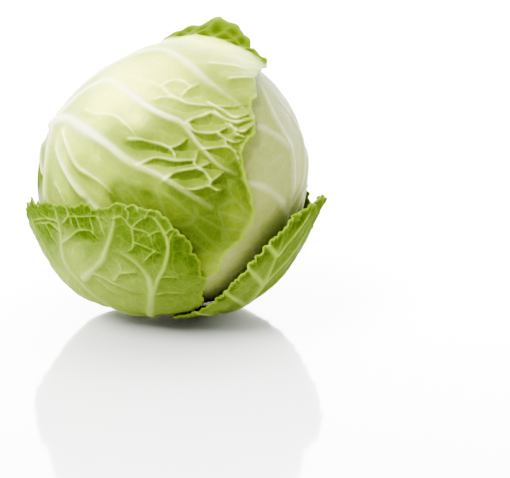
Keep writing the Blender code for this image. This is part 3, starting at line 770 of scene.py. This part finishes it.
def leaf_material(name, tints, edge, turned, net_strength, shine):
    """Waxy leaf: pale veins over green that deepens away from them, with a fine net.

    tints are the colours of the vein where the leaf is pale and where it is green, and of the
    pale, middle and deep blade. turned is the colour of a margin that is turned up.
    """
    vein_pale, vein_green, pale, middle, deep = (tuple(tint) for tint in tints)
    nodes = Nodes(bpy.data.materials.new(name))
    vein, green, rim, turned_up = nodes.tones()
    waxy = nodes.math("SUBTRACT", 1.0, turned_up)
    green = nodes.math("ADD", green, nodes.span(nodes.noise(MOTTLE, 3), 0.3, 0.7, -0.1, 0.1))
    light = tuple(math.sqrt(a * b) for a, b in zip(pale, middle))
    blade = nodes.mix(nodes.span(green, 0, 0.25, way="LINEAR"), pale, light)
    blade = nodes.mix(nodes.span(green, 0.25, 0.5, way="LINEAR"), blade, middle)
    blade = nodes.mix(nodes.span(green, 0.45, 1, way="LINEAR"), blade, deep)
    blade = nodes.mix(turned_up, blade, tuple(turned))
    # The thin margin, and on a turned-up margin the painted highlights on its crinkles' ridges
    blade = nodes.mix(nodes.math("MULTIPLY", rim, 0.8), blade, tuple(edge))
    wide = nodes.span(nodes.walls(WIDE_NET), 0.0, 0.05, 1, 0)
    fine = nodes.span(nodes.walls(FINE_NET), 0.0, 0.10, 0.45, 0)
    net = nodes.math("MULTIPLY", nodes.math("MAXIMUM", wide, fine), nodes.math("SUBTRACT", 1.0, vein))
    white = nodes.math("MULTIPLY", net, net_strength)
    white = nodes.math("MAXIMUM", white, nodes.math("MULTIPLY", vein, 0.9))
    white = nodes.math("MULTIPLY", white, waxy)
    colour = nodes.mix(white, blade, nodes.mix(nodes.span(green, 0.1, 0.8), vein_pale, vein_green))
    speck = nodes.span(nodes.noise(SPECKS, 3), 0.2, 0.8, 0.93, 1.07)
    nodes.set("Base Color", nodes.scaled(colour, speck))
    nodes.set("Roughness", nodes.span(nodes.noise(SHEEN_PATCHES, 2), 0.3, 0.7, 0.42, 0.56))
    grain = nodes.math("MULTIPLY", nodes.noise(GRAIN, 4), 0.6)
    nodes.bump(nodes.math("ADD", nodes.math("MULTIPLY", net, 0.5), grain), 0.35)
    nodes.set("Subsurface Weight", 0.08)
    nodes.set("Subsurface Radius", (1.0, 1.0, 0.2))
    nodes.set("Subsurface Scale", 3 * MM)
    nodes.set("Specular IOR Level", nodes.math("MULTIPLY", nodes.span(green, 0.5, 1, shine, 0), waxy))
    nodes.set("Specular Tint", (1.0, 1.0, 0.55, 1.0))
    return nodes.owner


# Each kind of leaf has five colours, and these are their defaults, in the same order
TINTS = {
    "vein": "ribs where it is pale",
    "vein_green": "ribs where it is green",
    "pale": "palest",
    "middle": "between",
    "deep": "greenest",
}
WRAPPER_TINTS = [
    (1.0, 1.0, 0.62), (0.38, 0.46, 0.08), (0.90, 0.97, 0.085), (0.19, 0.26, 0.003), (0.030, 0.054, 0.001),
]
# The inner wrapper leaves are much darker than the heart: partly their own greener colour, partly painted
# shade
SHADED_INNER_TINTS = [
    (0.34, 0.36, 0.15), (0.30, 0.34, 0.10), (0.24, 0.26, 0.065), (0.155, 0.185, 0.026), (0.09, 0.14, 0.008),
]
OUTER_TINTS = [
    (0.22, 0.27, 0.055), (0.17, 0.25, 0.014), (0.152, 0.205, 0.015), (0.076, 0.118, 0.007),
    (0.021, 0.045, 0.0003),
]


def tints_of(colours, kind):
    """The five colours of one kind of leaf."""
    return [getattr(colours, f"{kind}_{key}") for key in TINTS]


def plain_material(name, colour, second, roughness, scale):
    """Soft mottled matter with a little grain."""
    nodes = Nodes(bpy.data.materials.new(name))
    mottle = nodes.span(nodes.noise(scale, 4, 0.6), 0.35, 0.65)
    nodes.set("Base Color", nodes.mix(mottle, tuple(colour), tuple(second)))
    nodes.bump(nodes.noise(scale * 6, 4), 0.4)
    nodes.set("Roughness", roughness)
    return nodes.owner


def colour_property(name, description, default):
    return FloatVectorProperty(
        name=name, description=description, subtype="COLOR", size=4, min=0.0, max=1.0, default=(*default, 1.0)
    )


def length_property(name, description, default):
    return FloatProperty(name=name, description=description, default=default, unit="LENGTH", precision=6)


def angle_property(name, description, degrees):
    turn = math.radians(degrees)
    return FloatProperty(name=name, description=description, default=turn, subtype="ANGLE")


def number_property(name, description, default):
    return FloatProperty(name=name, description=description, default=default)


def count_property(name, description, default):
    return IntProperty(name=name, description=description, default=default)


class CabbageShape(PropertyGroup):
    """Sizes of the head and of the relief on its leaves"""

    heart_half_width: length_property("Heart half width", "Half the heart's width", 0.0804)
    heart_half_height: length_property("Heart half height", "Half the heart's height", 0.0829)
    middle_height: length_property("Middle height", "Height of the head's middle over the cut face", 0.0855)
    flat_drop: length_property("Flat drop", "How far below the middle the heart is flattened", 0.0735)
    lump_height: length_property("Lump height", "Height of the broad soft lumps of the head", 0.0009)
    stem_radius: length_property("Stem radius", "Radius of the cut stem", 0.0160)
    stem_gap: length_property("Stem gap", "Gap between the stem and the heart", 0.0003)
    nick_depth: length_property("Nick depth", "Depth of the small nicks in the leaf margins", 0.0005)
    stem_bevel: length_property("Stem bevel", "Width of the bevel round the cut face", 0.0008)
    rib_rise: number_property("Rib rise", "A rib's height as a share of its half width", 0.55)
    rib_taper: number_property("Rib taper", "How much narrower a rib gets", 0.60)
    crease_rise: number_property("Crease rise", "A crease's height by its half width", 0.6)
    crease_taper: number_property("Crease taper", "How much narrower a crease gets", 0.35)
    wrapper_cells: count_property("Wrapper cells", "Cells across the big wrapper leaf", 220)
    outer_cells: count_property("Outer cells", "Cells across the front outer leaf", 200)
    hidden_cells: count_property("Other cells", "Cells across each other leaf", 130)


class CabbageColours(PropertyGroup):
    """Colours of the leaves, the heart and the stem"""

    # The big wrapper's margin colour is also the painted highlight on the crinkles of its turned-up margin
    wrapper_edge: colour_property("Wrapper margin", "Thin margin of the big wrapper", (0.18, 0.28, 0.0))
    outer_edge: colour_property("Outer margin", "Thin margin of the outer leaves", (0.11, 0.17, 0.004))
    turned_margin: colour_property("Turned margin", "Big wrapper where turned up", (0.022, 0.040, 0.0))
    heart: colour_property("Heart", "Packed inner leaves", (0.78, 0.80, 0.40))
    stem: colour_property("Stem", "Cut stem", (0.66, 0.64, 0.36))
    stem_dark: colour_property("Stem, dark", "Dried places of the cut stem", (0.40, 0.32, 0.14))


def add_tints(kind, whose, tints):
    """Adds the five colours of one kind of leaf to the group of colours."""
    for (key, where), tint in zip(TINTS.items(), tints):
        name = f"{kind}_{key}"
        label = name.capitalize().replace("_", " ")
        CabbageColours.__annotations__[name] = colour_property(label, f"{whose}: {where}", tint)


add_tints("wrapper", "Big wrapper leaf", WRAPPER_TINTS)
add_tints("inner", "Inner wrapper leaves", SHADED_INNER_TINTS)
add_tints("outer", "Outer leaves", OUTER_TINTS)


class StudioSettings(PropertyGroup):
    """The floor, the lights and the camera"""

    # The floor is painted darker right under the head, a painted contact shadow that fades into the plain
    # floor colour further out
    floor_painted_shadow: colour_property("Floor near", "Floor right under the head", (0.34, 0.35, 0.32))
    floor_far: colour_property("Floor far", "Floor at a hand's breadth and more", (0.94, 0.94, 0.94))
    shadow_full_until: length_property("Near floor ends", "How far out the near floor's colour is pure", 0.03)
    shadow_gone_from: length_property("Far floor starts", "How far out the far floor's colour is pure", 0.17)
    camera_distance: length_property("Camera distance", "From the camera to the head's middle", 0.95)
    camera_elevation: angle_property("Camera elevation", "Angle of view above the horizon", 16)
    pixel_size: length_property("Pixel size", "Size on the head of one pixel of the photograph", 0.0006305)
    key_strength: number_property("Key light", "Strength of the key light", 21.0)
    key_spread: angle_property("Key spread", "Angle that the key light fills", 36)
    key_tilt: angle_property("Key tilt", "Key light's angle from straight down", 38)
    key_turn: angle_property("Key turn", "Where the key light comes from", -52)
    sky: number_property("Sky", "Strength of the white surroundings", 1.3)
    card: number_property("Card", "Strength of the bright white card behind", 30.0)


class CABBAGE_OT_heart(Operator):
    """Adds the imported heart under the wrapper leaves"""

    bl_idname = "cabbage.heart"
    bl_label = "Heart"

    def execute(self, context):
        shape, colours = context.scene.cabbage_shape, context.scene.cabbage_colours
        head = Head(shape)
        bpy.ops.object.select_all(action="DESELECT")
        bpy.ops.mesh.primitive_uv_sphere_add(segments=96, ring_count=64, radius=1)
        heart = context.object
        n = vertices_of(heart.data)
        n /= np.linalg.norm(n, axis=1, keepdims=True)
        set_vertices(heart.data, head.middle + n * head.radius(n)[:, None])
        bpy.ops.object.shade_smooth()
        # The heart is mottled with the inner leaves' palest colour, which carries painted shade
        material = plain_material("heart", colours.heart, colours.inner_pale, 0.5, 60)
        finish_piece(heart, "heart_skin", "heart", material)
        return {"FINISHED"}


class CABBAGE_OT_stem(Operator):
    """Adds the cut stem that the head stands on"""

    bl_idname = "cabbage.stem"
    bl_label = "Stem"

    def execute(self, context):
        shape, colours = context.scene.cabbage_shape, context.scene.cabbage_colours
        head = Head(shape)
        top = shape.middle_height - float(head.radius(np.array([0.0, 0.0, -1.0]))) - shape.stem_gap
        bpy.ops.object.select_all(action="DESELECT")
        bpy.ops.mesh.primitive_cylinder_add(
            vertices=96, radius=shape.stem_radius, depth=top, location=(0, 0, top / 2)
        )
        stem = context.object
        bpy.ops.object.transform_apply(location=True, rotation=False, scale=False)
        bpy.ops.object.modifier_add(type="BEVEL")
        bevel = stem.modifiers[-1]
        bevel.width = shape.stem_bevel
        bevel.segments = 3
        bpy.ops.object.modifier_apply(modifier=bevel.name)
        bpy.ops.object.shade_smooth_by_angle(angle=math.radians(40))
        nodes = Nodes(bpy.data.materials.new("stem"))
        inputs = {"Vector": nodes.place, "Scale": STEM_RINGS, "Distortion": 6.0}
        rings = nodes.add("ShaderNodeTexWave", inputs, wave_type="RINGS", rings_direction="Z")
        dry = nodes.math("MULTIPLY", rings.outputs["Fac"], nodes.span(nodes.noise(STEM_DRY, 4), 0.35, 0.7))
        nodes.set("Base Color", nodes.mix(dry, tuple(colours.stem), tuple(colours.stem_dark)))
        nodes.bump(nodes.noise(STEM_GRAIN, 4), 0.5)
        nodes.set("Roughness", 0.7)
        finish_piece(stem, "stem_skin", "stem", nodes.owner)
        return {"FINISHED"}


class CABBAGE_OT_wrapper_leaves(Operator):
    """Adds the three tight wrapper leaves"""

    bl_idname = "cabbage.wrapper_leaves"
    bl_label = "Wrapper leaves"

    def execute(self, context):
        shape, colours = context.scene.cabbage_shape, context.scene.cabbage_colours
        turned = colours.turned_margin
        tints = tints_of(colours, "inner")
        inner = leaf_material("inner_wrapper", tints, colours.inner_deep, turned, 0.10, 0.03)
        tints = tints_of(colours, "wrapper")
        outer = leaf_material("big_wrapper", tints, colours.wrapper_edge, turned, 0.05, 0.06)
        cups = [OUTER_FRONT, OUTER_LEFT, OUTER_BACK, OUTER_RIGHT]
        rows = [
            (WRAPPER_BACK, shape.hidden_cells, [WRAPPER_RIGHT, WRAPPER_LEFT] + cups, "pale_wrapper", inner),
            (WRAPPER_RIGHT, shape.hidden_cells, [WRAPPER_LEFT] + cups, "pale_wrapper", inner),
            (WRAPPER_LEFT, shape.wrapper_cells, cups, "wrapper", outer),
        ]
        for plan, cells, above, slot, material in rows:
            make_leaf_piece(context, plan, cells, above, material)
        return {"FINISHED"}


class CABBAGE_OT_outer_leaves(Operator):
    """Adds the four loose outer leaves that cup the head"""

    bl_idname = "cabbage.outer_leaves"
    bl_label = "Outer leaves"

    def execute(self, context):
        shape, colours = context.scene.cabbage_shape, context.scene.cabbage_colours
        tints = tints_of(colours, "outer")
        material = leaf_material("outer_leaf", tints, colours.outer_edge, colours.outer_deep, 0.20, 0.005)
        rows = [
            (OUTER_LEFT, shape.hidden_cells, [OUTER_FRONT, OUTER_BACK]),
            (OUTER_BACK, shape.hidden_cells, [OUTER_RIGHT]),
            (OUTER_FRONT, shape.outer_cells, [OUTER_RIGHT]),
            (OUTER_RIGHT, shape.hidden_cells, []),
        ]
        for plan, cells, above in rows:
            make_leaf_piece(context, plan, cells, above, material)
        return {"FINISHED"}


class CABBAGE_OT_studio(Operator):
    """Adds the pale floor, the soft lights and the camera"""

    bl_idname = "cabbage.studio"
    bl_label = "Studio"

    def execute(self, context):
        studio, shape = context.scene.cabbage_studio, context.scene.cabbage_shape
        bpy.ops.object.select_all(action="DESELECT")
        bpy.ops.mesh.primitive_plane_add(size=FLOOR_SIZE, location=(0, 0, 0))
        floor = context.object
        floor.name = floor.data.name = "floor"
        nodes = Nodes(bpy.data.materials.new("floor"))
        # Painted contact shadow: the floor's colour darkens towards the head's foot
        off = nodes.add("ShaderNodeVectorMath", {0: nodes.place}, operation="LENGTH")
        far = nodes.span(off.outputs["Value"], studio.shadow_full_until, studio.shadow_gone_from)
        nodes.set("Base Color", nodes.mix(far, tuple(studio.floor_painted_shadow), tuple(studio.floor_far)))
        nodes.set("Roughness", 0.1)
        nodes.set("Coat Weight", 1.0)
        nodes.set("Coat Roughness", 0.06)
        floor.data.materials.append(nodes.owner)

        context.scene.world = bpy.data.worlds.new("studio")
        self.light_world(context.scene.world, studio)
        bpy.ops.object.light_add(type="SUN", rotation=(studio.key_tilt, 0, studio.key_turn))
        key = context.object
        key.name = key.data.name = "key"
        key.data.energy = studio.key_strength
        key.data.angle = studio.key_spread
        self.add_camera(context, studio, shape.middle_height)
        return {"FINISHED"}

    def light_world(self, world, studio):
        """White surroundings, with a bright card low behind the head."""
        nodes = Nodes(world)
        away = nodes.add("ShaderNodeSeparateXYZ", {0: nodes.coordinates["Generated"]}).outputs
        behind = nodes.span(away["Y"], *CARD_BEHIND, 0.0, studio.card)
        low = nodes.span(away["Z"], *CARD_LOW, 1.0, 0.0)
        sky = nodes.tree.nodes["Background"]
        nodes.put((1, 1, 1, 1), sky.inputs["Color"])
        lit = nodes.math("ADD", nodes.math("MULTIPLY", behind, low), studio.sky)
        nodes.put(lit, sky.inputs["Strength"])

    def add_camera(self, context, studio, middle_height):
        """The camera looks straight on, so the head stands left of and above the picture's middle."""
        e = studio.camera_elevation
        to_right = (PHOTO_MIDDLE[0] - HEAD_MIDDLE_IN_PHOTO[0]) * studio.pixel_size
        to_top = -(PHOTO_MIDDLE[1] - HEAD_MIDDLE_IN_PHOTO[1]) * studio.pixel_size
        back = studio.camera_distance
        place = (
            to_right,
            -back * math.cos(e) + to_top * math.sin(e),
            middle_height + back * math.sin(e) + to_top * math.cos(e),
        )
        bpy.ops.object.camera_add(location=place, rotation=(math.pi / 2 - e, 0, 0))
        camera = context.object
        camera.data.sensor_width = 36
        camera.data.lens = camera.data.sensor_width * back / (PHOTO_WIDTH * studio.pixel_size)
        camera.data.clip_start = 0.01
        camera.data.clip_end = 100
        context.scene.camera = camera


class CABBAGE_PT_panel(Panel):
    """Lists the pieces of the cabbage head"""

    bl_idname = "CABBAGE_PT_panel"
    bl_label = "Cabbage Head"
    bl_space_type = "VIEW_3D"
    bl_region_type = "UI"
    bl_category = "Cabbage"

    def draw(self, context):
        for operator in OPERATORS:
            self.layout.operator(operator.bl_idname)
        for group in GROUPS:
            box = self.layout.box()
            settings = getattr(context.scene, group)
            for key in settings.__annotations__:
                box.prop(settings, key)


GROUPS = {
    "cabbage_shape": CabbageShape,
    "cabbage_colours": CabbageColours,
    "cabbage_studio": StudioSettings,
}
OPERATORS = (
    CABBAGE_OT_heart,
    CABBAGE_OT_stem,
    CABBAGE_OT_wrapper_leaves,
    CABBAGE_OT_outer_leaves,
    CABBAGE_OT_studio,
)
CLASSES = (*GROUPS.values(), *OPERATORS, CABBAGE_PT_panel)


def register():
    for cls in CLASSES:
        bpy.utils.register_class(cls)
    for key, group in GROUPS.items():
        setattr(bpy.types.Scene, key, PointerProperty(type=group))


def unregister():
    for key in GROUPS:
        delattr(bpy.types.Scene, key)
    for cls in reversed(CLASSES):
        bpy.utils.unregister_class(cls)


def main():
    register()
    bpy.ops.object.select_all(action="DESELECT")
    bpy.ops.cabbage.heart()
    bpy.ops.cabbage.stem()
    bpy.ops.cabbage.wrapper_leaves()
    bpy.ops.cabbage.outer_leaves()
    bpy.ops.cabbage.studio()


if __name__ == "__main__":
    main()
